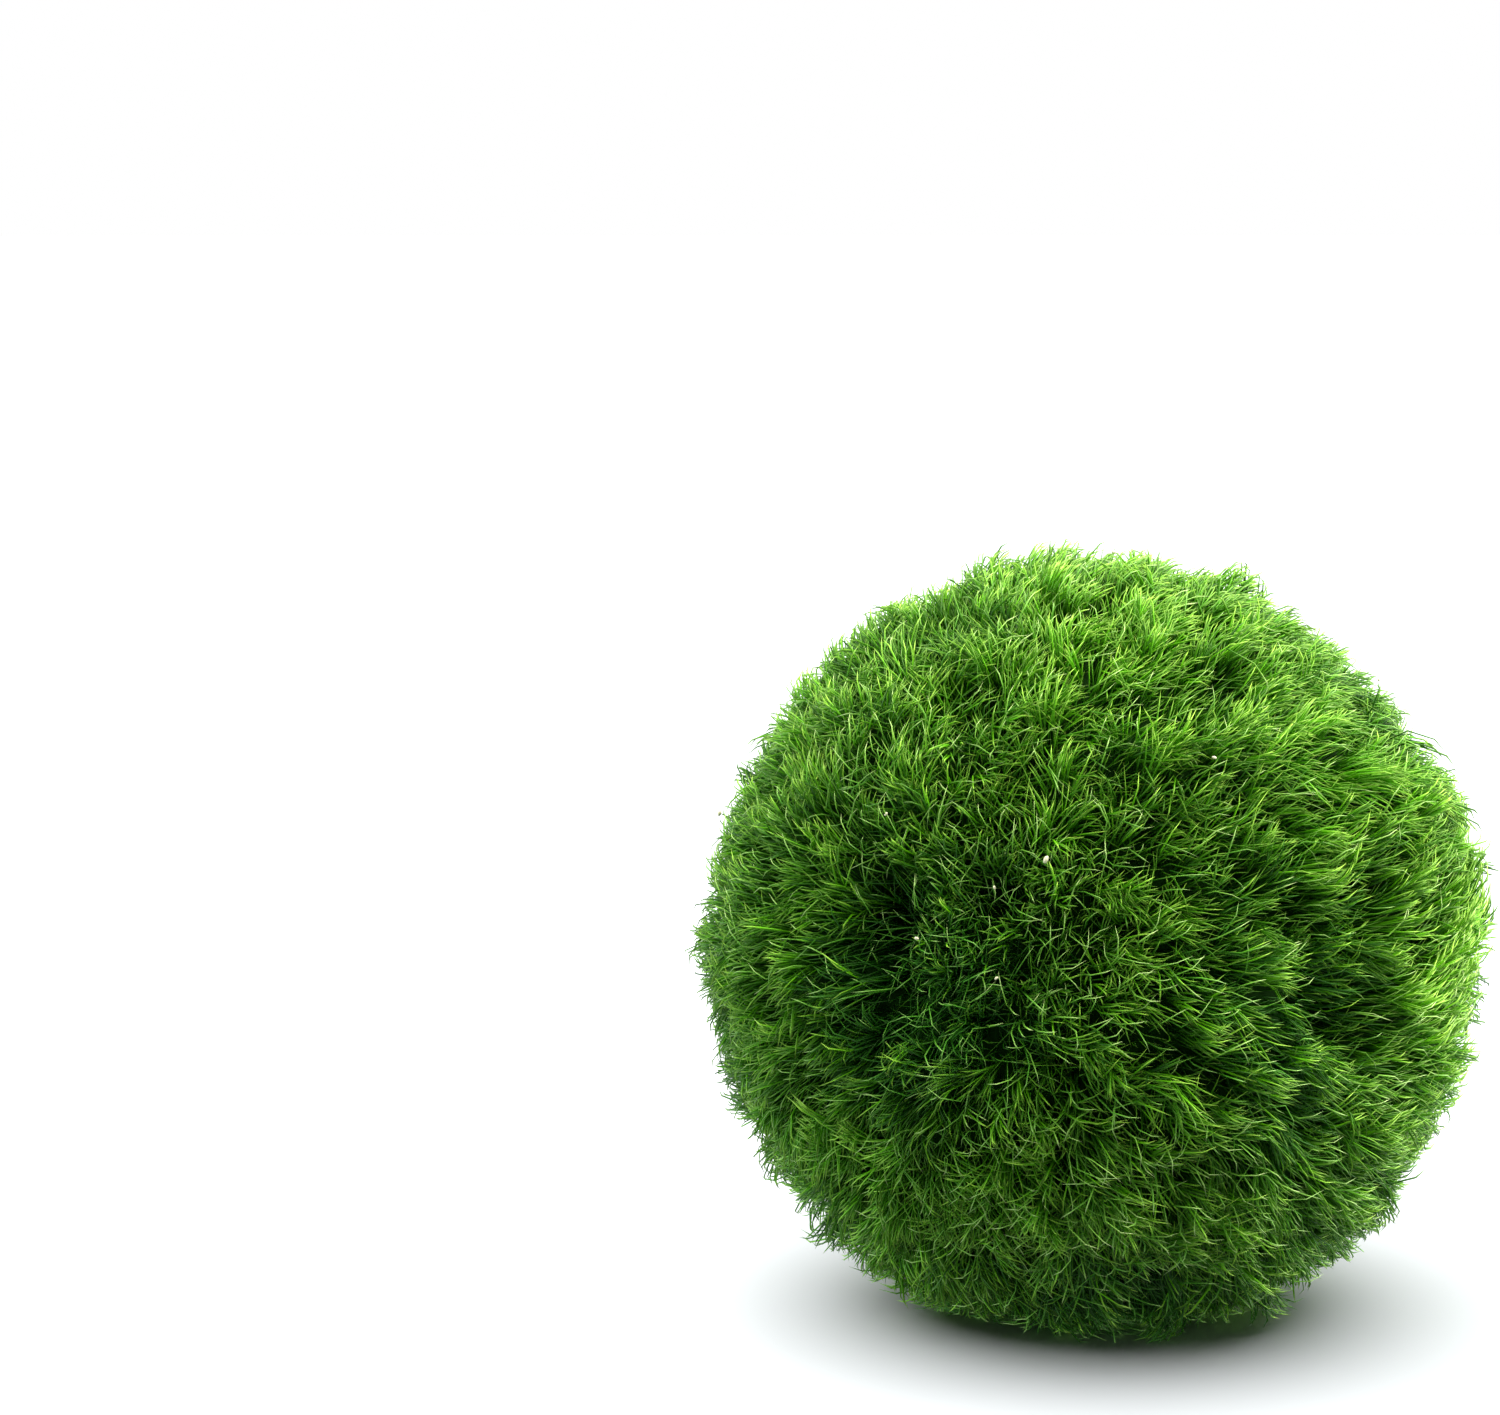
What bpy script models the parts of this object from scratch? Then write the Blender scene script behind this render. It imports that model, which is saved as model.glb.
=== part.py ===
"""A marimo moss ball: one living ball of matted green alga filaments, about 50 mm across.

It is one solid. The surface is where the filament tips end: the ball's own lumps and hollows, a few hundred
short locks that lie the way the filaments are combed, and the small flat spot that the ball rests on.
Units are metres, +Z is up, the ball's face is towards -Y, and the origin is the middle of the resting spot.
"""

import math

import bmesh
import bpy
import numpy as np

MM = 0.001

# Driving dimensions: the ball half way between the valleys and the tips of its locks, and the resting spot
BALL_WIDTH = 49.0 * MM
BALL_DEPTH = 48.4 * MM
BALL_HEIGHT = 49.0 * MM
SPOT_RADIUS = 8.5 * MM
SPOT_SOFT_EDGE = 4.0 * MM

# A lock of filaments: a low wedge that rises from its root to its tip and narrows towards the tip
LOCK_COUNT = 560
LOCK_LENGTH = 5.4 * MM
LOCK_HALF_WIDTH = 1.7 * MM
LOCK_TIP_NARROWING = 0.6
LOCK_RISE = 1.5 * MM
LOCK_OVERHANG = 0.4 * MM
LOCK_VARIATION = 0.3
LOCK_SCATTER = 0.7 * MM
LOCK_SEED = 11

# Where the corners along a lock's spine are, as shares of its length from the root to the tip
SPINE_SHARES = (1.0, 0.6, 0.25)
# A tip counts as on its lock though rounding may put it a hair beyond, and a lock only reaches over its own
# side of the ball, where the cosine of the angle from its middle is above this
TIP_TOLERANCE = 0.001
OWN_SIDE_COSINE = 0.5

# How close together the corners of the skin may be, and how many are offered between those of the locks
CORNER_GAP = 0.9 * MM
FILL_POINTS = 5200

# The crown is where the filaments stand straight up. They are combed away from it on all sides, a little
# clockwise, and lie flat once they are CROWN_REACH of the ball's radius away from it.
CROWN_AZIMUTH = -21.0
CROWN_ELEVATION = 9.0
CROWN_REACH = 0.35
COMB_SWIRL = 0.25

# Lumps and hollows: azimuth from the face towards +X, elevation, height in millimetres and spread.
# A negative height is a hollow. All angles are degrees.
LUMPS = (
    (-36, 13, -1.6, 8),
    (-12, 15, -0.8, 14),
    (38, 7, -1.7, 8),
    (39, -6, -1.5, 8),
    (18, 34, 0.9, 16),
    (-46, 38, 0.8, 15),
    (-62, -2, 0.8, 14),
    (10, -24, 0.8, 18),
    (75, -50, 0.8, 16),
    (-75, -50, 0.8, 16),
    (100, 44, -1.2, 17),
    (64, 18, 0.7, 14),
    (-100, 30, -0.7, 17),
    (150, 12, 0.9, 20),
    (-150, 20, 0.8, 18),
    (178, -22, -1.3, 13),
    (-120, -18, -1.0, 12),
    (125, -30, 0.8, 16),
    (-172, 52, -0.9, 15),
)

MOSS_GREEN = (0.045, 0.17, 0.012, 1.0)
MOSS_ROUGHNESS = 0.9


def clear_scene():
    for obj in list(bpy.data.objects):
        bpy.data.objects.remove(obj)


def unit(vectors):
    return vectors / np.linalg.norm(vectors, axis=1)[:, None]


def direction(azimuth, elevation):
    """The unit vector at these angles in degrees: azimuth 0 is -Y, and 90 is +X."""
    a, e = math.radians(azimuth), math.radians(elevation)
    return np.array((math.sin(a) * math.cos(e), -math.cos(a) * math.cos(e), math.sin(e)))


def golden_spiral(count):
    """count unit vectors spread evenly over a sphere, each a golden angle further round than the last."""
    step = np.arange(count) + 0.5
    height = 1 - 2 * step / count
    turn = step * math.pi * (3 - math.sqrt(5))
    ring = np.sqrt(1 - height**2)
    return np.stack([ring * np.cos(turn), ring * np.sin(turn), height], 1)


def combed(normals):
    """The way the filaments lie along the surface: 0 on the crown, and a length near 1 well away from it."""
    crown = direction(CROWN_AZIMUTH, CROWN_ELEVATION)
    away = normals * (normals @ crown)[:, None] - crown
    away += COMB_SWIRL * np.cross(away, normals)
    return away / np.sqrt((away**2).sum(1) + CROWN_REACH**2)[:, None]


def lump_height(normals):
    """The sum of round bumps, each falling off with the square of the angle from its middle."""
    total = np.zeros(len(normals))
    for azimuth, elevation, height, spread in LUMPS:
        angle = np.degrees(np.arccos(np.clip(normals @ direction(azimuth, elevation), -1, 1)))
        total += height * MM * np.exp(-((angle / spread) ** 2))
    return total


class Locks:
    """All the locks: where each one's middle is, which way it lies, and how long, wide and high it is."""

    def __init__(self):
        random = np.random.default_rng(LOCK_SEED)
        radius = BALL_WIDTH / 2
        scatter = random.normal(0, LOCK_SCATTER / radius, (LOCK_COUNT, 3))
        self.middle = unit(golden_spiral(LOCK_COUNT) + scatter)
        wander = random.normal(0, LOCK_VARIATION, (LOCK_COUNT, 3))
        wander -= self.middle * (wander * self.middle).sum(1)[:, None]
        self.along = unit(combed(self.middle) + wander)
        self.across = np.cross(self.middle, self.along)
        size = 1 + LOCK_VARIATION * random.uniform(-1, 1, (3, LOCK_COUNT))
        self.length, self.half_width, self.rise = size * np.array(
            ((LOCK_LENGTH / radius,), (LOCK_HALF_WIDTH / radius,), (1.0,))
        )

    def place(self, share):
        """The unit vectors at this share of each lock's length, from its root at 0 to its tip at 1."""
        return unit(self.middle + self.along * ((share - 0.5) * self.length)[:, None])

    def height(self, normals):
        """The height at each unit vector, of the highest lock over it, where 1 is an average lock's tip.

        A lock's height is its share of the length from the root, times how near its spine the place is.
        """
        share = normals @ self.along.T / self.length + 0.5
        half_width = self.half_width * (1 - LOCK_TIP_NARROWING * np.clip(share, 0, 1) ** 2)
        near_spine = np.clip(1 - np.abs(normals @ self.across.T) / half_width, 0, 1)
        on_lock = (share > 0) & (share <= 1 + TIP_TOLERANCE) & (normals @ self.middle.T > OWN_SIDE_COSINE)
        return np.where(on_lock, share * near_spine * self.rise, 0).max(1)


def thinned(points, gap):
    """The points that are at least this far from every earlier one that is kept, as a mask."""
    kept = np.zeros(len(points), bool)
    for number, point in enumerate(points):
        earlier = points[kept]
        kept[number] = not len(earlier) or ((earlier - point) ** 2).sum(1).min() > gap**2
    return kept


def ball_surface(normals, height, is_tip):
    """Each unit vector's place on the ball: an ellipsoid, its lumps, its locks and the flat resting spot."""
    half = np.array((BALL_WIDTH, BALL_DEPTH, BALL_HEIGHT)) / 2
    cut = half[2] * math.sqrt(1 - (SPOT_RADIUS / half[0]) ** 2)
    smooth = normals * half
    # On the flat spot the locks are pressed flat, and they come up again over its soft edge
    from_axis = np.linalg.norm(smooth[:, :2], axis=1)
    loose = np.clip((from_axis - SPOT_RADIUS) / SPOT_SOFT_EDGE, 0, 1)
    loose[normals[:, 2] > 0] = 1
    rise = (lump_height(normals) + LOCK_RISE * (height - 0.5)) * loose
    overhang = LOCK_OVERHANG * is_tip * loose
    points = smooth + normals * rise[:, None] + combed(normals) * overhang[:, None]
    points[:, 2] = np.maximum(points[:, 2] + cut, 0)
    points[:, :2] -= (points[:, :2].min(0) + points[:, :2].max(0)) / 2
    return points


def skin_points():
    """The corners of the skin as unit vectors, and where they go: lock tips first, then spines, then fill."""
    locks = Locks()
    beyond_tip = 1 + CORNER_GAP / LOCK_LENGTH
    spine = [locks.place(share) for share in (*SPINE_SHARES, beyond_tip)]
    normals = np.concatenate([*spine, golden_spiral(FILL_POINTS)])
    kept = thinned(normals, CORNER_GAP / (BALL_WIDTH / 2))
    is_tip = (np.arange(len(normals)) < LOCK_COUNT)[kept]
    normals = normals[kept]
    return normals, ball_surface(normals, locks.height(normals), is_tip)


def moss_material():
    material = bpy.data.materials.new("moss")
    material.use_nodes = True
    shader = material.node_tree.nodes["Principled BSDF"]
    shader.inputs["Base Color"].default_value = MOSS_GREEN
    shader.inputs["Roughness"].default_value = MOSS_ROUGHNESS
    shader.inputs["Metallic"].default_value = 0.0
    return material


def moss_ball():
    """The convex hull of the unit vectors gives their faces, and each corner then moves to its place."""
    normals, places = skin_points()
    skin = bmesh.new()
    for normal in normals:
        skin.verts.new(normal)
    bmesh.ops.convex_hull(skin, input=skin.verts)
    bmesh.ops.triangulate(skin, faces=skin.faces)
    bmesh.ops.recalc_face_normals(skin, faces=skin.faces)
    for vertex, place in zip(skin.verts, places):
        vertex.co = place
    mesh = bpy.data.meshes.new("moss_ball")
    skin.to_mesh(mesh)
    skin.free()
    mesh.shade_smooth()
    mesh.materials.append(moss_material())
    ball = bpy.data.objects.new("moss_ball", mesh)
    bpy.context.collection.objects.link(ball)
    return ball


clear_scene()
moss_ball()
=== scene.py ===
import math

import bpy
import numpy as np
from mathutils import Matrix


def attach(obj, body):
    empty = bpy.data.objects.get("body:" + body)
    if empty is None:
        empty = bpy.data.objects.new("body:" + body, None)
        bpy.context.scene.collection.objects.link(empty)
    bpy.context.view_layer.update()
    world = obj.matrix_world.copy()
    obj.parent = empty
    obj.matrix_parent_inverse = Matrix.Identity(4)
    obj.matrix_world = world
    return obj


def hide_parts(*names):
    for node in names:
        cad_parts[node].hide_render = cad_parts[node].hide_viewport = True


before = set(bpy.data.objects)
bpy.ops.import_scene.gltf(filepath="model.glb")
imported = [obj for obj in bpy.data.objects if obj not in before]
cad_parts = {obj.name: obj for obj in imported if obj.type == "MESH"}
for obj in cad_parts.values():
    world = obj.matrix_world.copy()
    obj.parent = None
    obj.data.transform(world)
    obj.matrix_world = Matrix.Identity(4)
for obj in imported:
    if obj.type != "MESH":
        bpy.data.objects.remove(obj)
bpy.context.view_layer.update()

# The ball as a whole: a colony of a green alga, grown into one round mat about 50 mm across. The packed
# solid gives how far the moss reaches in every direction, and the filaments below grow up to that surface.
MM = 0.001
BALL_MIDDLE = np.array((0.0, 0.0, 23.0 * MM))
BALL_RADIUS = 24.5 * MM
SURFACE_ROWS = 60
SURFACE_COLUMNS = 120
SURFACE_SOFTENING = 0.9 * MM / BALL_RADIUS


def surface_directions():
    """A grid of directions: rows from straight up to straight down, columns right round from the face."""
    down = (np.arange(SURFACE_ROWS + 1) / SURFACE_ROWS * math.pi)[:, None]
    round_ball = (np.arange(SURFACE_COLUMNS) / SURFACE_COLUMNS * 2 * math.pi)[None, :]
    level = np.cos(down) + 0 * round_ball
    return np.stack([np.sin(down) * np.sin(round_ball), -np.sin(down) * np.cos(round_ball), level], -1)


def reach_over_grid():
    """The solid's reach along each direction of the grid.

    It is the mean reach of the solid's corners, weighted by a bell curve of the angle between a corner and
    the direction.
    """
    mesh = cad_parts["moss_ball"].data
    corners = np.empty(3 * len(mesh.vertices), np.float32)
    mesh.vertices.foreach_get("co", corners)
    corners = corners.reshape(-1, 3) - BALL_MIDDLE
    reach = np.linalg.norm(corners, axis=1)
    directions = surface_directions().reshape(-1, 3).astype(np.float32)
    cosines = directions @ (corners / reach[:, None]).T.astype(np.float32)
    weights = np.exp((cosines - 1) / SURFACE_SOFTENING**2)
    return (weights @ reach / weights.sum(1)).reshape(SURFACE_ROWS + 1, SURFACE_COLUMNS)


REACH = reach_over_grid()


def reach_along(directions):
    """The solid's reach along any directions: a straight blend of the four grid values round each one."""
    row = np.arccos(np.clip(directions[..., 2], -1, 1)) / math.pi * SURFACE_ROWS
    column = np.arctan2(directions[..., 0], -directions[..., 1]) / (2 * math.pi) * SURFACE_COLUMNS
    top = np.minimum(row.astype(int), SURFACE_ROWS - 1)
    left = np.floor(column).astype(int)
    down, right = row - top, column - left
    near, far = left % SURFACE_COLUMNS, (left + 1) % SURFACE_COLUMNS
    upper = REACH[top, near] * (1 - right) + REACH[top, far] * right
    lower = REACH[top + 1, near] * (1 - right) + REACH[top + 1, far] * right
    return upper * (1 - down) + lower * down


# The lie of the moss: the filaments stand up at the crown, on the ball's face, and are combed away from it
# all round, never quite in line.
CROWN_AZIMUTH = -21.0
CROWN_ELEVATION = 9.0
CROWN_SPREAD = math.radians(24)
COMB_SHARE = 0.6
NOISE_WAVES = 14
DRIFT = 0.1
DRIFT_FINENESS = 4.0
DRIFT_SEED = 3
RUFFLE = 0.18
RUFFLE_FINENESS = 13.0
RUFFLE_SEED = 4

# Which way the moss lies at some places on the face, as the picture shows it: the azimuth and elevation of
# the place and the bearing of the filaments there, clockwise from straight up, all in degrees
BEARINGS_SEEN = (
    ((-65, 5), -100), ((-60, -10), -115), ((-60, -25), -135), ((-60, 20), -70), ((-50, 10), -120),
    ((-45, -30), -150), ((-65, 50), -65), ((-50, 30), -10), ((-40, 55), -30), ((-25, 42), 50),
    ((-10, 55), 45), ((-5, 42), 70), ((-5, 30), 95), ((15, 30), 60), ((35, 60), 75), ((35, 45), 75),
    ((57, 48), 145), ((50, 32), 100), ((22, 35), 80), ((9, 18), 55), ((6, 5), 80), ((23, 8), 80),
    ((27, -4), 110), ((45, 5), 70), ((50, -6), 70), ((50, -18), 80), ((62, 0), 55), ((67, -33), 100),
    ((23, -15), 115), ((28, -33), 120), ((10, -25), 145), ((13, -40), 140), ((-2, -32), 150),
    ((5, -52), 150), ((-14, -25), 160), ((-25, -20), 175), ((-25, -40), 175), ((-47, -56), -140),
    ((-8, 19), 40), ((-40, 2), -105), ((-33, 23), -30), ((-17, -13), 170), ((-4, 6), 80),
)
BEARING_SPREAD = math.radians(13)


def unit(vectors):
    return vectors / np.linalg.norm(vectors, axis=-1, keepdims=True)


def direction(azimuth, elevation):
    """The unit vectors at these angles in degrees: azimuth 0 is -Y, and 90 is +X."""
    a, e = np.radians(azimuth), np.radians(elevation)
    return np.stack([np.sin(a) * np.cos(e), -np.cos(a) * np.cos(e), np.sin(e)], -1)


def along_surface(vectors, directions):
    """The part of each vector that lies along the ball's surface, square to the direction."""
    return vectors - directions * (vectors * directions).sum(1)[:, None]


def slow_noise(directions, channels, fineness, seed):
    """Random values that change slowly over the ball: a sum of sine waves that cross it at random angles."""
    draw = np.random.default_rng(seed)
    waves = draw.normal(0, fineness, (3, NOISE_WAVES))
    phases = draw.uniform(0, 2 * math.pi, NOISE_WAVES)
    shares = draw.normal(0, math.sqrt(2 / NOISE_WAVES), (NOISE_WAVES, channels))
    return np.sin(directions @ waves + phases) @ shares


def heading_at(azimuth, elevation, bearing):
    """The unit vector along the surface at a place, at a bearing in degrees clockwise from straight up."""
    a, e, b = np.radians(azimuth), np.radians(elevation), np.radians(bearing)
    east = np.stack([np.cos(a), np.sin(a), 0 * a], -1)
    north = np.stack([-np.sin(a) * np.sin(e), np.cos(a) * np.sin(e), np.cos(e)], -1)
    return east * np.sin(b)[:, None] + north * np.cos(b)[:, None]


seen_places = np.array([place for place, bearing in BEARINGS_SEEN]).T
seen_directions = direction(*seen_places)
seen_headings = heading_at(*seen_places, np.array([bearing for place, bearing in BEARINGS_SEEN]))


def lie(directions):
    """The way the filaments lie along the surface: 0 where they stand up, and 1 long where they lie flat.

    Their heading is away from the crown, plus noise, plus each heading seen near by, weighted by a bell
    curve of the angle to its place.
    """
    crown = direction(CROWN_AZIMUTH, CROWN_ELEVATION)
    cosine = np.clip(directions @ crown, -1, 1)
    away = COMB_SHARE * (directions * cosine[:, None] - crown)
    away += DRIFT * slow_noise(directions, 3, DRIFT_FINENESS, DRIFT_SEED)
    away += RUFFLE * slow_noise(directions, 3, RUFFLE_FINENESS, RUFFLE_SEED)
    angle = np.arccos(np.clip(directions @ seen_directions.T, -1, 1))
    away += np.exp(-((angle / BEARING_SPREAD) ** 2)) @ seen_headings
    flatness = 1 - np.exp(-((np.arccos(cosine) / CROWN_SPREAD) ** 2))
    return unit(along_surface(away, directions)) * flatness[:, None]


# The locks: the filaments cling together in locks a few millimetres wide, which lie side by side all over
# the ball, as they are combed. Only the places and the shapes of the locks are worked out here.
LOCK_COUNT = 560
LOCK_LENGTH = 5.4 * MM
LOCK_HALF_WIDTH = 1.7 * MM
LOCK_VARIATION = 0.3
LOCK_WANDER = 0.3
LOCK_SCATTER = 0.7 * MM
LOCK_SEED = 11

# Where the moss is in disorder: at the crown, over the upper left, on the lower face and at one place on the
# back. Azimuth, elevation, how much looser it is there than elsewhere, and how far that spreads in degrees
DISORDER = ((-21, 9, 3.0, 17), (-27, 34, 1.9, 23), (-10, -32, 1.3, 24), (178, -10, 1.2, 20))
LOOSENESS_ELSEWHERE = 0.95


def golden_spiral(count):
    """count unit vectors spread evenly over a sphere, each a golden angle further round than the last."""
    step = np.arange(count) + 0.5
    height = 1 - 2 * step / count
    turn = step * math.pi * (3 - math.sqrt(5))
    ring = np.sqrt(1 - height**2)
    return np.stack([ring * np.cos(turn), ring * np.sin(turn), height], 1)


def bells(places, directions):
    """The sum of bell curves of the angle from each place: azimuth, elevation, height and spread."""
    azimuth, elevation, height, spread = np.array(places, float).T
    angle = np.degrees(np.arccos(np.clip(directions @ direction(azimuth, elevation).T, -1, 1)))
    return np.exp(-((angle / spread) ** 2)) @ height


def looseness(directions):
    """How loosely the moss grows along each direction, on which the filaments' own turns depend."""
    return LOOSENESS_ELSEWHERE + bells(DISORDER, directions)


random = np.random.default_rng(LOCK_SEED)
lock_scatter = random.normal(0, LOCK_SCATTER / BALL_RADIUS, (LOCK_COUNT, 3))
lock_middle = unit(golden_spiral(LOCK_COUNT) + lock_scatter)
lock_wander = along_surface(random.normal(0, LOCK_WANDER, (LOCK_COUNT, 3)), lock_middle)
lock_lie = lie(lock_middle)
lock_flatness = np.linalg.norm(lock_lie, axis=1)
lock_along = unit(unit(lock_lie) + lock_wander * looseness(lock_middle)[:, None])
lock_across = np.cross(lock_middle, lock_along)
lock_size = 1 + LOCK_VARIATION * random.uniform(-1, 1, (3, LOCK_COUNT))
lock_tone = random.uniform(-1, 1, LOCK_COUNT)
lock_lift = random.normal(0, 1, LOCK_COUNT)

# The clefts: gaps between the locks where one sees down into the moss. The hole left of the crown, the
# valley on the right, the line under the overhanging ledge above it and the gaps round the crown and in the
# lower face are where the picture shows them, and the rest are spread over the ball.
CLEFTS_SEEN = (
    # Azimuth and elevation in degrees, depth in millimetres, negative on the ledge, and spread in degrees
    (-38, 11, 3.2, 5.2),
    (-39, -6.5, 1.2, 3.5),
    (-35, 1, 1.1, 3),
    (-40, 4, 0.9, 3),
    (30, 11, 0.8, 4),
    (33, 5, 1.1, 5),
    (35, -5, 1.1, 5),
    (31, -1, 0.9, 3),
    (28, 16, 0.6, 4),
    (28, -11, 0.9, 4),
    (30, -18, 0.9, 4),
    (22, 38, -0.7, 5),
    (34, 37, -0.7, 5),
    (48, 30, -0.6, 5),
    (20, 31.5, 0.9, 3),
    (28, 31.5, 1.0, 3),
    (37, 29.5, 1.0, 3),
    (42, 24, 1.1, 3),
    (45, 17, 1.2, 3.5),
    (-16.7, 1.4, 1.2, 3),
    (-8, -7, 1.2, 3),
    (2, -16, 1.0, 3),
    (-14, -24, 0.9, 3),
    (14, -22, 1.0, 3),
    (-4, -42, 1.2, 4),
    (16, -46, 1.2, 4),
    (-24, -46, 1.2, 4),
    (-22, 17, 0.9, 2.5),
)
SPREAD_CLEFTS = 70
SPREAD_CLEFT_SCATTER = 0.12
SPREAD_CLEFT_DEPTH = (0.5 * MM, 1.4 * MM)
SPREAD_CLEFT_SPREAD = (2.0, 4.0)
CLEFT_SEED = 8

random = np.random.default_rng(CLEFT_SEED)
cleft_scatter = random.normal(0, SPREAD_CLEFT_SCATTER, (SPREAD_CLEFTS, 3))
cleft_middle = unit(golden_spiral(SPREAD_CLEFTS) + cleft_scatter)
cleft_depth = random.uniform(*SPREAD_CLEFT_DEPTH, SPREAD_CLEFTS)
cleft_spread = random.uniform(*SPREAD_CLEFT_SPREAD, SPREAD_CLEFTS)
seen_clefts = np.array(CLEFTS_SEEN)
cleft_middle = np.concatenate([direction(seen_clefts[:, 0], seen_clefts[:, 1]), cleft_middle])
cleft_depth = np.concatenate([seen_clefts[:, 2] * MM, cleft_depth])
cleft_spread = np.radians(np.concatenate([seen_clefts[:, 3], cleft_spread]))


def cleft_at(directions):
    """How deep the clefts are along each direction: a bell curve of the angle from each one's middle."""
    angle = np.arccos(np.clip(directions @ cleft_middle.T, -1, 1))
    return np.exp(-((angle / cleft_spread) ** 2)) @ cleft_depth


def moss_reach(directions):
    """How far the moss reaches along each direction: the solid's reach less the depth of the clefts."""
    return reach_along(directions) - cleft_at(directions)


# The felt: the older, darker filaments matted together under the growing tips. It is seen only as the dark
# bottom of the gaps between tufts, and it takes the imported solid's place. Its near-black green is partly
# the old filaments' own colour and partly painted shade at the bottom of the gaps.
FELT_DEPTH = 2.6 * MM
FELT_GREEN_AND_PAINTED_SHADE = (0.006, 0.035, 0.002, 1)
FELT_ROUGHNESS = 0.95
FELT_SHINE = 0.1


def mesh_object(name, corners, groups, material):
    """A smooth mesh from an array of corners and some arrays of faces, riding on the ball."""
    mesh = bpy.data.meshes.new(name)
    sides = np.concatenate([np.full(len(group), group.shape[1]) for group in groups])
    faces = np.concatenate([group.ravel() for group in groups])
    mesh.vertices.add(len(corners))
    mesh.vertices.foreach_set("co", corners.astype(np.float32).ravel())
    mesh.loops.add(int(sides.sum()))
    mesh.loops.foreach_set("vertex_index", faces.astype(np.int32))
    mesh.polygons.add(len(sides))
    mesh.polygons.foreach_set("loop_start", (np.cumsum(sides) - sides).astype(np.int32))
    mesh.update(calc_edges=True)
    mesh.shade_smooth()
    mesh.materials.append(material)
    piece = bpy.data.objects.new(name, mesh)
    bpy.context.scene.collection.objects.link(piece)
    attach(piece, "root")
    return piece


def plain_material(name, colour, roughness, shine):
    """A material of one colour, unless something else is linked to its colour afterwards."""
    material = bpy.data.materials.new(name)
    material.use_nodes = True
    shader = material.node_tree.nodes["Principled BSDF"]
    shader.inputs["Base Color"].default_value = colour
    shader.inputs["Roughness"].default_value = roughness
    shader.inputs["Specular IOR Level"].default_value = shine
    return material


def felt_surface():
    """The grid of directions times the reach less the felt's depth, with one corner at each pole."""
    directions = surface_directions()
    cleft = cleft_at(directions.reshape(-1, 3)).reshape(REACH.shape)
    places = BALL_MIDDLE + directions * (REACH - cleft - FELT_DEPTH)[..., None]
    poles = np.stack([places[0, 0], places[-1, 0]])
    corners = np.concatenate([places[1:-1].reshape(-1, 3), poles])
    number = np.arange((SURFACE_ROWS - 1) * SURFACE_COLUMNS).reshape(SURFACE_ROWS - 1, SURFACE_COLUMNS)
    beside = np.roll(number, -1, axis=1)
    squares = np.stack([number[:-1], number[1:], beside[1:], beside[:-1]], -1).reshape(-1, 4)
    top_pole = np.full(SURFACE_COLUMNS, number.size)
    cap = np.stack([top_pole, number[0], beside[0]], -1)
    base = np.stack([top_pole + 1, beside[-1], number[-1]], -1)
    return corners, [squares, cap, base]


# Painted shade: the felt's near-black green stands partly for the shade deep in the gaps
felt_green_and_shade = plain_material("felt", FELT_GREEN_AND_PAINTED_SHADE, FELT_ROUGHNESS, FELT_SHINE)
felt = mesh_object("felt", *felt_surface(), felt_green_and_shade)
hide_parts("moss_ball")

# The filaments: fine round threads of alga, about a tenth of a millimetre thick. Each one rises from the
# felt, bends over the way the moss is combed, and ends near the ball's surface.
FLOOR_GAP = 0.02 * MM
BEND_SHARE = (0.15, 0.5)
BEND_HEIGHT_SHARE = (0.75, 1.1)

# A thread's three edges, in degrees round it from a line along the surface, and a nudge off the upright that
# keeps this line in being for a thread that stands straight up
EDGE_TURNS = (90, 210, 330)
OUTWARD_NUDGE = 0.01

# Every corner's place on the map that carries the colour: how far along the filament it is runs from left to
# right, and the filament's tone from bottom to top. The tone differs a hair between the filament's sides, so
# that its faces have some width on the map.
MAP_ALONG_START = 0.01
MAP_ALONG_SPAN = 0.98
MAP_TONE_START = 0.015
MAP_TONE_SPAN = 0.97
MAP_TONE_HAIR = 0.004

# The colours along a filament from its root to its tip, for the darkest filaments and for the brightest. The
# darkening towards the root is partly the old filaments' own colour and partly painted shade deep in the
# moss, and the pale tips are partly painted highlight.
MOSS_DEEP = ((0.0, (0.003, 0.045, 0.001, 1)), (0.6, (0.007, 0.08, 0.001, 1)), (1.0, (0.022, 0.17, 0.001, 1)))
MOSS_BRIGHT = ((0.0, (0.02, 0.16, 0.001, 1)), (0.6, (0.17, 0.64, 0.004, 1)), (1.0, (0.58, 0.96, 0.15, 1)))
MOSS_ROUGHNESS = 0.42
MOSS_SHINE = 0.24

# The lighter and darker patches that the picture shows. A little of this is the moss's own tone, but most of
# it is painted light on the top, the upper right, the right rim and the lower face, and painted shade round
# the crown, in the valley on the right and at the bottom. Azimuth, elevation, change of tone and spread
PAINTED_LIGHT_SHADE_AND_TONE = (
    (-53, 4, 0.3, 4), (-31, 1, -0.5, 14), (34, 3, -0.2, 8), (29, -13, -0.18, 9), (26, 54, -0.07, 13),
    (50, -4, 0.15, 7), (56, -18, 0.12, 11), (-52, -20, 0.1, 12), (45, 40, 0.2, 11), (18, -3, -0.2, 11),
    (-38, -34, 0.1, 18), (0, 60, 0.12, 22), (-16, -14, 0.14, 6), (68, 3, 0.3, 13), (12, 3, -0.1, 10),
    (-22, -30, 0.2, 15), (5, -28, 0.08, 14), (18, -36, 0.04, 12), (0, -64, -0.6, 18), (35, 33, 0.16, 5),
    (62, 29, 0.12, 6), (-40, -6, -0.12, 9),
)


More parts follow.
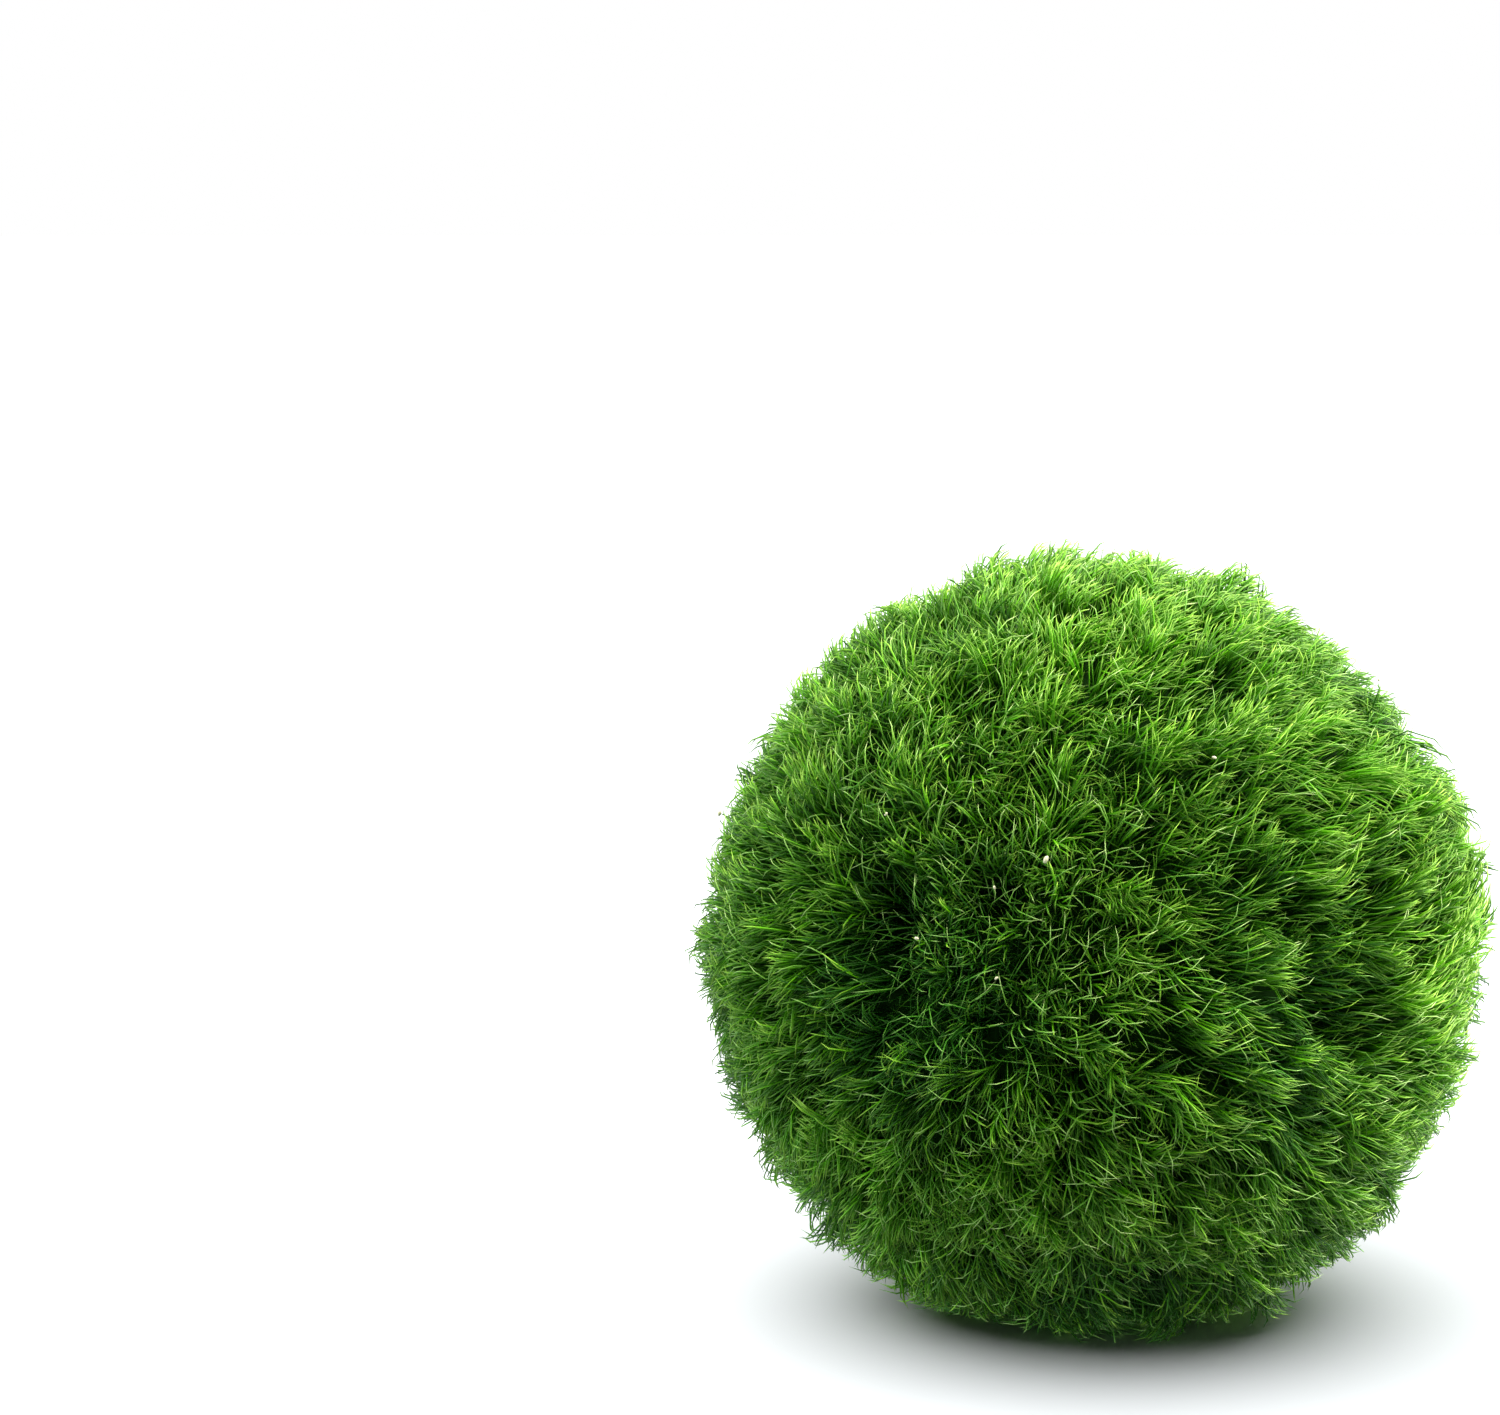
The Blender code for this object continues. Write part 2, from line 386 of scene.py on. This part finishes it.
def filament_material(name, deep_colours, bright_colours):
    """The colour along the filament, from the deep colours at tone 0 to the bright ones at tone 1."""
    material = plain_material(name, bright_colours[0][1], MOSS_ROUGHNESS, MOSS_SHINE)
    nodes = material.node_tree.nodes
    links = material.node_tree.links
    where = nodes.new("ShaderNodeUVMap")
    where.uv_map = "OFBake"
    parts = nodes.new("ShaderNodeSeparateXYZ")
    links.new(where.outputs["UV"], parts.inputs[0])
    deep = nodes.new("ShaderNodeValToRGB")
    bright = nodes.new("ShaderNodeValToRGB")
    for ramp, colours in ((deep, deep_colours), (bright, bright_colours)):
        ramp.color_ramp.elements.remove(ramp.color_ramp.elements[0])
        ramp.color_ramp.elements[0].position = colours[0][0]
        ramp.color_ramp.elements[0].color = colours[0][1]
        for place, colour in colours[1:]:
            ramp.color_ramp.elements.new(place).color = colour
        links.new(parts.outputs["X"], ramp.inputs["Fac"])
    # The tone chooses between the deep and the bright colours, so it carries the painted light and shade of
    # the patches and clefts
    blend = nodes.new("ShaderNodeMix")
    blend.data_type = "RGBA"
    links.new(parts.outputs["Y"], blend.inputs["Factor"])
    links.new(deep.outputs["Color"], blend.inputs["A"])
    links.new(bright.outputs["Color"], blend.inputs["B"])
    links.new(blend.outputs["Result"], nodes["Principled BSDF"].inputs["Base Color"])
    return material


def thread_corners(curves, radius, rings):
    """The corners of a three-sided thread along each curve, and each ring's share of the way along it.

    A place on the curve is the blend of root, bend and tip in which the bend has its greatest weight, a
    half, half way along. The corners of a ring stand round that place, at right angles to the curve.
    """
    root, bend, tip = curves
    share, thickness = np.array(rings).T[:, :, None]
    share = np.append(share, 1.0)[:, None]
    places = root[:, None] * (1 - share) ** 2
    places = places + 2 * bend[:, None] * share * (1 - share) + tip[:, None] * share**2
    run = unit((bend - root)[:, None] * (1 - share[:-1]) + (tip - bend)[:, None] * share[:-1])
    side = unit(np.cross(run, unit(root - BALL_MIDDLE)[:, None] + OUTWARD_NUDGE))
    up = np.cross(side, run)
    turn = np.radians(EDGE_TURNS)[:, None]
    out = np.cos(turn) * side[:, :, None] + np.sin(turn) * up[:, :, None]
    out *= radius[:, None, None, None] * thickness[:, None]
    corners = np.concatenate([(places[:, :-1, None] + out).reshape(len(root), -1, 3), places[:, -1:]], 1)
    corners[..., 2] = np.maximum(corners[..., 2], FLOOR_GAP)
    return corners, share[:, 0]


def filaments(name, curves, radius, tone, rings, material):
    """A thin three-sided thread along each curve, closed at its root and pointed at its tip.

    curves holds the root, the bend and the tip of each: the curve leaves the root towards the bend and comes
    in to the tip from it. rings holds each ring's share of the length and of the thickness.
    """
    corners, share = thread_corners(curves, radius, rings)
    count = len(corners)
    ring_count = len(rings)
    starts = range(0, 3 * (ring_count - 1), 3)
    squares = [(r + e, r + (e + 1) % 3, r + 3 + (e + 1) % 3, r + 3 + e) for r in starts for e in range(3)]
    last, apex = 3 * (ring_count - 1), 3 * ring_count
    ends = [(last, last + 1, apex), (last + 1, last + 2, apex), (last + 2, last, apex), (2, 1, 0)]
    first = (np.arange(count) * (apex + 1))[:, None, None]
    groups = [(first + np.array(squares)).reshape(-1, 4), (first + np.array(ends)).reshape(-1, 3)]
    piece = mesh_object(name, corners.reshape(-1, 3), groups, material)
    corner_share = np.append(np.repeat(share[:-1], 3), 1.0)
    corner_along = np.tile(MAP_ALONG_START + MAP_ALONG_SPAN * corner_share, count)
    hair = np.append(np.tile((-MAP_TONE_HAIR, 0.0, MAP_TONE_HAIR), ring_count), 0.0)
    corner_tone = (MAP_TONE_START + MAP_TONE_SPAN * np.clip(tone, 0, 1)[:, None] + hair).reshape(-1)
    loops = np.empty(len(piece.data.loops), np.int32)
    piece.data.loops.foreach_get("vertex_index", loops)
    layer = piece.data.uv_layers.new(name="OFBake")
    map_places = np.stack([corner_along[loops], corner_tone[loops]], 1)
    layer.data.foreach_set("uv", map_places.ravel().astype(np.float32))


def filament_pieces(names, group, curves, radius, tone, rings, material):
    """One piece under each name, of the filaments whose group has that name's number."""
    for number, name in enumerate(names):
        chosen = group == number
        part_curves = [ends[chosen] for ends in curves]
        filaments(name, part_curves, radius[chosen], tone[chosen], rings, material)


def grown(root_direction, root_depth, heading, reach, rise, curl):
    """The root, bend and tip of filaments that start in these directions and run this far along a heading.

    The bend is over a sixth to a half of the run, and off to the left by curl times the run.
    """
    count = len(reach)
    tip_direction = unit(root_direction + heading * (reach / BALL_RADIUS)[:, None])
    root_height = moss_reach(root_direction) - root_depth
    tip_height = moss_reach(tip_direction) + rise
    share = random.uniform(*BEND_SHARE, count)
    aside = np.cross(root_direction, unit(heading)) * (curl * reach)[:, None]
    bend_direction = unit(root_direction + (tip_direction - root_direction) * share[:, None])
    bend_height = root_height + (tip_height - root_height) * random.uniform(*BEND_HEIGHT_SHARE, count)
    return (
        BALL_MIDDLE + root_direction * root_height[:, None],
        BALL_MIDDLE + bend_direction * bend_height[:, None] + aside,
        BALL_MIDDLE + tip_direction * tip_height[:, None],
    )


def turned(heading, root_direction, angle):
    """Each heading turned about the ball's surface by this angle in radians."""
    return heading * np.cos(angle)[:, None] + np.cross(root_direction, heading) * np.sin(angle)[:, None]


moss_green = filament_material("moss green", MOSS_DEEP, MOSS_BRIGHT)

# The undergrowth: short fine filaments that stand everywhere between the tufts, and fill the moss up to
# about half a millimetre under its surface.
FILAMENT_SEED = 5
UNDERGROWTH_PIECES = ("undergrowth_front", "undergrowth_back")
UNDERGROWTH_COUNT = 27000
UNDERGROWTH_ROOT_DEPTH = 2.9 * MM
UNDERGROWTH_RADIUS = 0.045 * MM
UNDERGROWTH_RADIUS_SHARE = (0.8, 1.2)
UNDERGROWTH_RINGS = ((0.0, 1.0), (0.6, 0.9))
UNDERGROWTH_SCATTER = 0.01
UNDERGROWTH_WANDER = 0.4
UNDERGROWTH_CURL = 0.25

# Least and greatest reach, mean rise and its variation, in millimetres, and mean tone and its variation
UNDERGROWTH_REACH = (1.0, 3.0)
UNDERGROWTH_RISE = (-0.5, 0.4)
UNDERGROWTH_TONE = (0.24, 0.1)

random = np.random.default_rng(FILAMENT_SEED)
scatter = random.normal(0, UNDERGROWTH_SCATTER, (UNDERGROWTH_COUNT, 3))
root_direction = unit(golden_spiral(UNDERGROWTH_COUNT) + scatter)
wander = random.normal(0, UNDERGROWTH_WANDER, (UNDERGROWTH_COUNT, 3)) * looseness(root_direction)[:, None]
heading = lie(root_direction) + along_surface(wander, root_direction)
reach = random.uniform(*UNDERGROWTH_REACH, UNDERGROWTH_COUNT) * MM
rise = random.normal(*UNDERGROWTH_RISE, UNDERGROWTH_COUNT) * MM
curl = random.normal(0, UNDERGROWTH_CURL, UNDERGROWTH_COUNT)
curves = grown(root_direction, UNDERGROWTH_ROOT_DEPTH, heading, reach, rise, curl)
# Painted light and shade: the tone is raised or lowered over the patches listed above, on top of its random
# spread
tone = random.normal(*UNDERGROWTH_TONE, UNDERGROWTH_COUNT) + bells(PAINTED_LIGHT_SHADE_AND_TONE, root_direction)
radius = UNDERGROWTH_RADIUS * random.uniform(*UNDERGROWTH_RADIUS_SHARE, UNDERGROWTH_COUNT)
behind = (root_direction[:, 1] > 0).astype(int)
filament_pieces(UNDERGROWTH_PIECES, behind, curves, radius, tone, UNDERGROWTH_RINGS, moss_green)

# The tufts: the longer filaments that make the ball's surface. A few grow together as a sprig, and several
# sprigs lie side by side as a lock, with their tips highest along its middle and towards its own tip.
TUFT_PIECES = ("tufts_front_left", "tufts_front_right", "tufts_back_left", "tufts_back_right")
SPRIGS_PER_LOCK = 6
FILAMENTS_PER_SPRIG = 12
TUFT_ROOT_DEPTH = 2.2 * MM
TUFT_RADIUS = 0.058 * MM
RADIUS_SHARE = (0.75, 1.25)
TUFT_RINGS = ((0.0, 1.0), (0.42, 1.0), (0.78, 0.88))

# How far the sprigs' roots are from the middle of the lock, as shares of its length and of its half width,
# the share of their reach that is left where the moss stands up, and how they turn, splay, fan out and curl
SPRIG_AHEAD = 0.6
SPRIG_ASIDE = 1.1
STANDING_REACH_SHARE = 0.45
SPRIG_TURN = 0.33
SPRIG_SPLAY = 0.2
SPRIG_FAN = (0.15, 0.45)
SPRIG_CURL = 0.18

# The sprigs' least and greatest reach, and how much their tips rise towards the lock's tip, drop towards its
# sides, rise with the whole lock and vary, all in millimetres
SPRIG_REACH = (2.0, 4.2)
SPRIG_RISE = 0.65
SPRIG_DROP = 0.4
LOCK_RISE = 0.22
SPRIG_RISE_VARIATION = 0.25

# How the single filaments of a sprig vary: where they root and how they rise, in millimetres, their share
# of the sprig's reach, and how they curl
ROOT_SCATTER = 0.22
FILAMENT_RISE_VARIATION = 0.26
FILAMENT_REACH_SHARE = (0.65, 1.1)
FILAMENT_CURL = 0.09

# Tones: that of the moss, how much locks, sprigs and whole patches differ from it, how much brighter single
# filaments are than their sprig, and how much darker they are for each millimetre of a cleft, as painted
# shade in the clefts and painted light on the ledges
TUFT_TONE = 0.17
LOCK_TONE = 0.1
SPRIG_TONE = 0.085
PATCH_TONE = 0.07
PATCH_FINENESS = 7.0
PATCH_SEED = 21
BRIGHT_FILAMENT_TONE = 0.27
CLEFT_PAINTED_SHADE = 0.12

# A cleft this deep is bare, and from this share of that depth on its filaments grow fewer
BARE_CLEFT_DEPTH = 2.2 * MM
THINNING_START = 0.25


def thinned(root_direction, curves):
    """Which filaments are kept: the fewer, the deeper the cleft is that they start in or reach over."""
    tip_direction = unit(curves[2] - BALL_MIDDLE)
    depth = np.maximum(cleft_at(root_direction), cleft_at(unit(root_direction + tip_direction)))
    depth = np.maximum(depth, cleft_at(tip_direction))
    return random.uniform(THINNING_START, 1, len(depth)) > depth / BARE_CLEFT_DEPTH


sprig_count = LOCK_COUNT * SPRIGS_PER_LOCK
lock = np.repeat(np.arange(LOCK_COUNT), SPRIGS_PER_LOCK)
ahead = random.uniform(-SPRIG_AHEAD, SPRIG_AHEAD, sprig_count)
aside = random.uniform(-SPRIG_ASIDE, SPRIG_ASIDE, sprig_count)
reach_share = STANDING_REACH_SHARE + (1 - STANDING_REACH_SHARE) * lock_flatness[lock]
reach = random.uniform(*SPRIG_REACH, sprig_count) * MM * reach_share
turn = random.normal(0, SPRIG_TURN, sprig_count) * looseness(lock_middle)[lock] - SPRIG_SPLAY * aside
rise = SPRIG_RISE * ahead - SPRIG_DROP * aside**2 + LOCK_RISE * lock_lift[lock]
rise = (rise + random.normal(0, SPRIG_RISE_VARIATION, sprig_count)) * MM
tone = TUFT_TONE + LOCK_TONE * lock_tone[lock] + random.normal(0, SPRIG_TONE, sprig_count)
fan = random.uniform(*SPRIG_FAN, sprig_count)
curl = random.normal(0, SPRIG_CURL, sprig_count)

sprig = np.repeat(np.arange(sprig_count), FILAMENTS_PER_SPRIG)
count = len(sprig)
lock = lock[sprig]
ahead = ahead[sprig] * LOCK_LENGTH * lock_size[0][lock] + random.normal(0, ROOT_SCATTER, count) * MM
aside = aside[sprig] * LOCK_HALF_WIDTH * lock_size[1][lock] + random.normal(0, ROOT_SCATTER, count) * MM
offset = lock_along[lock] * ahead[:, None] + lock_across[lock] * aside[:, None]
root_direction = unit(lock_middle[lock] + offset / BALL_RADIUS)
turn = turn[sprig] + random.normal(0, 1, count) * fan[sprig] * looseness(root_direction)
heading = turned(unit(along_surface(lock_along[lock], root_direction)), root_direction, turn)
reach = reach[sprig] * random.uniform(*FILAMENT_REACH_SHARE, count)
rise = rise[sprig] + random.normal(0, FILAMENT_RISE_VARIATION, count) * MM
curl = curl[sprig] + random.normal(0, FILAMENT_CURL, count)
curves = grown(root_direction, TUFT_ROOT_DEPTH, heading, reach, rise, curl)
patches = PATCH_TONE * slow_noise(root_direction, 1, PATCH_FINENESS, PATCH_SEED)[:, 0]
# Painted light and shade: the tone is raised or lowered over the patches listed above
patches += bells(PAINTED_LIGHT_SHADE_AND_TONE, root_direction)
tone = tone[sprig] + patches + BRIGHT_FILAMENT_TONE * random.exponential(1, count)
# Painted shade: the deeper the cleft a filament roots in, the darker it is, and on a ledge it is lighter
tone -= CLEFT_PAINTED_SHADE * cleft_at(root_direction) / MM
radius = TUFT_RADIUS * random.uniform(*RADIUS_SHARE, count)
kept = thinned(root_direction, curves)
quarter = (root_direction[:, 0] > 0) + 2 * (root_direction[:, 1] > 0)
kept_quarter = np.where(kept, quarter, -1)
filament_pieces(TUFT_PIECES, kept_quarter, curves, radius, tone, TUFT_RINGS, moss_green)

# The strays: single pale filaments that have come loose, lie across the others and curl at random, most of
# them where the moss is in disorder. One long one lies across the upper right.
STRAY_COUNT = 8400
STRAY_ROOT_DEPTH = 0.8 * MM
STRAY_RADIUS = 0.044 * MM
STRAY_TURN = 0.45
STRAY_CURL = 0.4
STRAY_TONE = (0.1, 1.0)
LONG_STRAY_PLACES = ((27, 54), (36, 51), (32, 46))
LONG_STRAY_HEIGHT = 0.9 * MM
# The colours along a stray from its root to its tip, for the darkest and for the palest. The loose filaments
# are paler than the rest, but the darkening towards the root is partly painted shade and the pale tips are
# partly painted highlight.
STRAY_DEEP = ((0.0, (0.005, 0.1, 0.001, 1)), (0.6, (0.08, 0.38, 0.02, 1)), (1.0, (0.4, 0.76, 0.22, 1)))
STRAY_PALE = ((0.0, (0.03, 0.2, 0.004, 1)), (0.6, (0.32, 0.74, 0.1, 1)), (1.0, (0.78, 1.0, 0.5, 1)))

# Least and greatest reach, and mean rise and its variation, in millimetres
STRAY_REACH = (1.0, 3.4)
STRAY_RISE = (0.1, 0.3)

# Where the moss is at least this loose all the strays stay, and elsewhere a share of them
ALL_STRAYS_LOOSENESS = 2.8

root_direction = unit(random.normal(0, 1, (STRAY_COUNT, 3)))
kept = random.uniform(0, ALL_STRAYS_LOOSENESS, STRAY_COUNT) < looseness(root_direction)
root_direction = root_direction[kept]
count = len(root_direction)
turn = random.normal(0, STRAY_TURN, count) * looseness(root_direction)
heading = turned(unit(lie(root_direction)), root_direction, turn)
reach = random.uniform(*STRAY_REACH, count) * MM
rise = random.normal(*STRAY_RISE, count) * MM
curl = random.normal(0, STRAY_CURL, count)
curves = grown(root_direction, STRAY_ROOT_DEPTH, heading, reach, rise, curl)
long_stray = np.stack([direction(*place) for place in LONG_STRAY_PLACES])
long_stray = BALL_MIDDLE + long_stray * (moss_reach(long_stray) + LONG_STRAY_HEIGHT)[:, None]
curves = [np.concatenate([ends, place[None]]) for ends, place in zip(curves, long_stray)]
# Painted light and shade: the strays' tone too is raised or lowered over the listed patches
tone = np.append(random.uniform(*STRAY_TONE, count) + bells(PAINTED_LIGHT_SHADE_AND_TONE, root_direction), STRAY_TONE[1])
radius = np.append(STRAY_RADIUS * random.uniform(*RADIUS_SHARE, count), STRAY_RADIUS)
stray_green = filament_material("pale green", STRAY_DEEP, STRAY_PALE)
filaments("strays", curves, radius, tone, TUFT_RINGS, stray_green)

# The flecks: a few pale grains, such as bits of shell and sand, caught between the filaments. Those on the
# face are where the picture shows them, and the others lie mostly on the back.
FLECKS_SEEN = (
    # Azimuth and elevation in degrees, and length in millimetres
    (-11.5, 23, 0.5),
    (-30.5, 10.7, 0.32),
    (-17.7, 6.3, 0.26),
    (-37.5, 27, 0.28),
    (-19.5, 19, 0.26),
    (15, 36, 0.3),
)
FLECKS_ELSEWHERE = 14
FLECK_LENGTH = (0.22, 0.45)
TOWARDS_THE_BACK = (0, 1, 0)
FLECK_HEIGHT = 0.5 * MM
FLECK_CLEFT_SHARE = 0.3
FLECK_WIDTH_SHARE = 0.62
FLECK_RINGS = 4
FLECK_SIDES = 8
FLECK_CREAM = (0.93, 0.96, 0.7, 1)
FLECK_ROUGHNESS = 0.5
FLECK_SHINE = 0.5


def egg_shapes(middles, lengths, axes):
    """An egg round each middle: rings of points on a sphere, stretched along the axis, and its two ends."""
    down = (np.arange(1, FLECK_RINGS) / FLECK_RINGS * math.pi)[:, None]
    turn = (np.arange(FLECK_SIDES) / FLECK_SIDES * 2 * math.pi)[None, :]
    rings = np.stack([np.sin(down) * np.cos(turn), np.sin(down) * np.sin(turn), np.cos(down) + 0 * turn], -1)
    ball = np.concatenate([rings.reshape(-1, 3), [(0, 0, 1), (0, 0, -1)]])
    ball[:, :2] *= FLECK_WIDTH_SHARE
    across = unit(np.cross(axes, unit(middles - BALL_MIDDLE)))
    frames = np.stack([across, np.cross(axes, across), axes], 1)
    corners = middles[:, None] + (ball @ frames) * lengths[:, None, None] / 2
    number = np.arange((FLECK_RINGS - 1) * FLECK_SIDES).reshape(-1, FLECK_SIDES)
    beside = np.roll(number, -1, axis=1)
    squares = np.stack([number[:-1], number[1:], beside[1:], beside[:-1]], -1).reshape(-1, 4)
    first_end = np.full(FLECK_SIDES, number.size)
    ends = np.concatenate([
        np.stack([first_end, number[0], beside[0]], -1),
        np.stack([first_end + 1, beside[-1], number[-1]], -1),
    ])
    first = (np.arange(len(middles)) * len(ball))[:, None, None]
    return corners.reshape(-1, 3), [(first + squares).reshape(-1, 4), (first + ends).reshape(-1, 3)]


azimuth, elevation, length = np.array(FLECKS_SEEN).T
elsewhere = unit(random.normal(0, 1, (FLECKS_ELSEWHERE, 3)) + TOWARDS_THE_BACK)
fleck_directions = np.concatenate([direction(azimuth, elevation), elsewhere])
lengths = np.concatenate([length, random.uniform(*FLECK_LENGTH, FLECKS_ELSEWHERE)]) * MM
heights = reach_along(fleck_directions) - FLECK_CLEFT_SHARE * cleft_at(fleck_directions)
axes = unit(along_surface(random.normal(0, 1, (len(lengths), 3)), fleck_directions))
middles = BALL_MIDDLE + fleck_directions * (heights + FLECK_HEIGHT)[:, None]
fleck_cream = plain_material("fleck", FLECK_CREAM, FLECK_ROUGHNESS, FLECK_SHINE)
mesh_object("flecks", *egg_shapes(middles, lengths, axes), fleck_cream)

# The white table that the ball stands on in the picture. It neither lights nor shades the ball, because the
# lamps below include the glow of the table.
FLOOR_SIZE = 3.0
FLOOR_WHITE = (0.77, 0.79, 0.81, 1)
FLOOR_ROUGHNESS = 0.9
FLOOR_SHINE = 0.1

floor_mesh = bpy.data.meshes.new("floor")
half = FLOOR_SIZE / 2
floor_corners = [(-half, -half, 0), (half, -half, 0), (half, half, 0), (-half, half, 0)]
floor_mesh.from_pydata(floor_corners, [], [(0, 1, 2, 3)])
floor_mesh.materials.append(plain_material("white paper", FLOOR_WHITE, FLOOR_ROUGHNESS, FLOOR_SHINE))
floor = bpy.data.objects.new("floor", floor_mesh)
bpy.context.scene.collection.objects.link(floor)
floor.visible_diffuse = False
floor.visible_shadow = False

# The light: a white studio. A big soft lamp overhead lights the top of the ball, a low soft lamp at each
# side lights its rims, a faint glow from the table lights its face from below, and a lamp for the table
# alone gives the ball a pale shadow.
BALL_LAMPS = (
    # Azimuth from the face towards +X, elevation and width in the sky, in degrees, then strength and colour
    ("overhead lamp", 112, 66, 85, 9.6, (1.0, 0.9, 0.75)),
    ("right lamp", 105, 8, 70, 3.6, (1.0, 0.97, 0.86)),
    ("left lamp", -95, 4, 70, 2.45, (0.92, 1.0, 0.88)),
    ("glow of the table", -8, -8, 90, 0.26, (1.0, 0.97, 0.86)),
)
TABLE_LAMPS = (("table lamp", -145, 80, 113, 7.0, (1.0, 1.0, 1.0)),)
FILL_STRENGTH = 0.09
WHITE = (1, 1, 1, 1)


def lamps(settings, lit_objects):
    """A round lamp in the sky for each of the settings, which lights only these objects."""
    lit = bpy.data.collections.new("lit by " + settings[0][0])
    for lit_object in lit_objects:
        lit.objects.link(lit_object)
    for name, azimuth, elevation, width, strength, colour in settings:
        light = bpy.data.lights.new(name, "SUN")
        light.angle = math.radians(width)
        light.energy = strength
        light.color = colour
        lamp = bpy.data.objects.new(name, light)
        lamp.rotation_euler = (math.radians(90 - elevation), 0, math.radians(azimuth))
        lamp.light_linking.receiver_collection = lit
        bpy.context.scene.collection.objects.link(lamp)


moss_pieces = [piece for piece in bpy.context.scene.objects if piece.type == "MESH" and piece != floor]
lamps(BALL_LAMPS, moss_pieces)
lamps(TABLE_LAMPS, [floor])

# The walls of the studio: plain white where they are seen, and a faint even light on everything
world = bpy.data.worlds.new("white studio")
world.use_nodes = True
nodes = world.node_tree.nodes
links = world.node_tree.links
fill = nodes["Background"]
fill.inputs["Color"].default_value = WHITE
fill.inputs["Strength"].default_value = FILL_STRENGTH
backdrop = nodes.new("ShaderNodeBackground")
backdrop.inputs["Color"].default_value = WHITE
seen = nodes.new("ShaderNodeLightPath")
either = nodes.new("ShaderNodeMixShader")
links.new(seen.outputs["Is Camera Ray"], either.inputs["Fac"])
links.new(fill.outputs["Background"], either.inputs[1])
links.new(backdrop.outputs["Background"], either.inputs[2])
links.new(either.outputs["Shader"], nodes["World Output"].inputs["Surface"])
bpy.context.scene.world = world
bpy.context.scene.view_settings.view_transform = "Standard"

# The camera: as the photograph was taken, from a little above, with the ball low on the right.
IMAGE_WIDTH_PX = 1500
PIXELS_PER_MM = 16.0
SENSOR_WIDTH = 36
CAMERA_DISTANCE = 260 * MM
CAMERA_PITCH = math.radians(9)
NEAREST_SEEN = 10 * MM
BALL_RIGHT_PX = 340
BALL_DOWN_PX = 232

camera_data = bpy.data.cameras.new("camera")
camera_data.sensor_width = SENSOR_WIDTH
field_width = IMAGE_WIDTH_PX / PIXELS_PER_MM * MM
camera_data.lens = SENSOR_WIDTH * CAMERA_DISTANCE / field_width
camera_data.clip_start = NEAREST_SEEN
camera = bpy.data.objects.new("camera", camera_data)
forward = np.array((0, math.cos(CAMERA_PITCH), -math.sin(CAMERA_PITCH)))
upward = np.array((0, math.sin(CAMERA_PITCH), math.cos(CAMERA_PITCH)))
rightward = np.array((1, 0, 0))
offset = (rightward * BALL_RIGHT_PX - upward * BALL_DOWN_PX) / PIXELS_PER_MM * MM
camera.location = BALL_MIDDLE - offset - forward * CAMERA_DISTANCE
camera.rotation_euler = (math.pi / 2 - CAMERA_PITCH, 0, 0)
bpy.context.scene.collection.objects.link(camera)
bpy.context.scene.camera = camera
